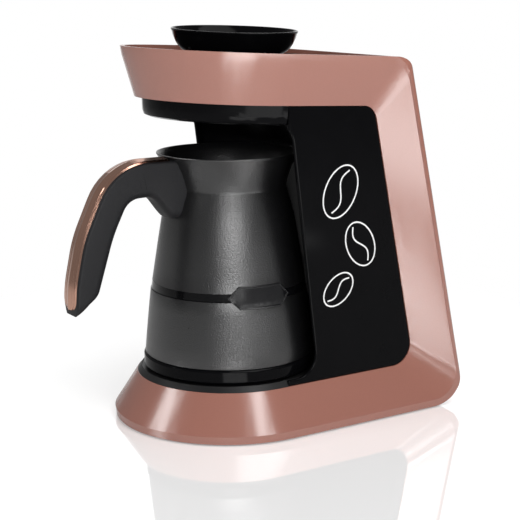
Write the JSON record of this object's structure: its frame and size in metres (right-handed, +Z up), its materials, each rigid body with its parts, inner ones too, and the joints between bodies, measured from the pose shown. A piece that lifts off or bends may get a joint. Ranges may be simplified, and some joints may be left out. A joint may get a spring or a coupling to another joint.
{
  "type": "electric turkish coffee maker",
  "caption": "Countertop electric coffee maker: a C-shaped frame holds a lift-off handled pot on a powered base, with one start button and a dish-shaped lid on top.",
  "frame": {"origin": "middle of the footprint of the whole coffee maker with its pot, at table height", "axes": "+Z up, -Y towards the front, where the pot's handle points, +X to the right-hand side panel as seen from the front"},
  "size_m": [0.1428, 0.2378, 0.2363],
  "materials": {
    "rose_paint": "satin rose-gold metallic paint",
    "black_gloss": "high gloss black",
    "black_satin": "satin black moulding",
    "pot_coat": "anthracite sparkle coating",
    "pot_band": "gloss black band",
    "badge_metal": "dark gloss plate",
    "grip_plastic": "fine textured grip",
    "rose_polish": "polished rose gold",
    "steel": "brushed",
    "aluminium": "satin",
    "brass": "bright",
    "board_green": "solder-masked board",
    "component_black": "moulded component",
    "capacitor_blue": "sleeved",
    "relay_white": "moulded",
    "rubber": "soft rubber",
    "lens": "clear lens"
  },
  "bodies": {
    "housing": {"outer_shell": "rose_paint", "side_panel_left": "black_gloss", "side_panel_right": "black_gloss", "column_liner": "black_gloss", "arm_hood": "black_gloss", "base_deck": "black_satin", "power_socket": "black_satin", "socket_contacts": "brass", "top_panel": "black_gloss", "indicator_lens": "lens", "button_spring": "steel", "button_guide": "black_satin", "button_board": "board_green", "start_switch": "component_black", "bottom_cover": "black_satin", "rubber_feet": "rubber", "sensor_window": "lens", "main_board": "board_green", "power_relay": "relay_white", "filter_capacitor": "capacitor_blue", "transformer": "component_black", "buzzer": "component_black", "board_carrier": "black_satin", "cord_gland": "rubber", "socket_nut": "steel", "cover_screws": "steel", "board_screws": "steel"},
    "start_button": {"start_button": "black_gloss"},
    "lid": {"pot_lid": "black_gloss"},
    "pot": {"pot_body": "pot_coat", "pot_band": "pot_band", "pot_badge": "badge_metal", "heater_plate": "aluminium", "pot_skirt": "black_gloss", "pot_connector": "component_black", "heater_element": "steel", "pot_thermostat": "component_black", "handle_grip": "grip_plastic", "handle_strip": "rose_polish", "handle_bracket": "steel", "handle_screw": "steel", "pot_contacts": "brass"}
  },
  "joints": [
    {"name": "start_button_press", "type": "slide", "parent": "housing", "child": "start_button", "axis": [0, -0.0506, -0.9987], "range_m": [0, 0.0015], "stiffness_N_per_m": 600, "springref_m": -0.001, "deforming": ["button_spring"]},
    {"name": "pot_lift", "type": "slide", "parent": "housing", "child": "pot", "axis": [0, 0, 1], "range_m": [0, 0.014]},
    {"name": "lid_lift", "type": "slide", "parent": "housing", "child": "lid", "axis": [0, 0, 1], "range_m": [0, 0.06]}
  ]
}
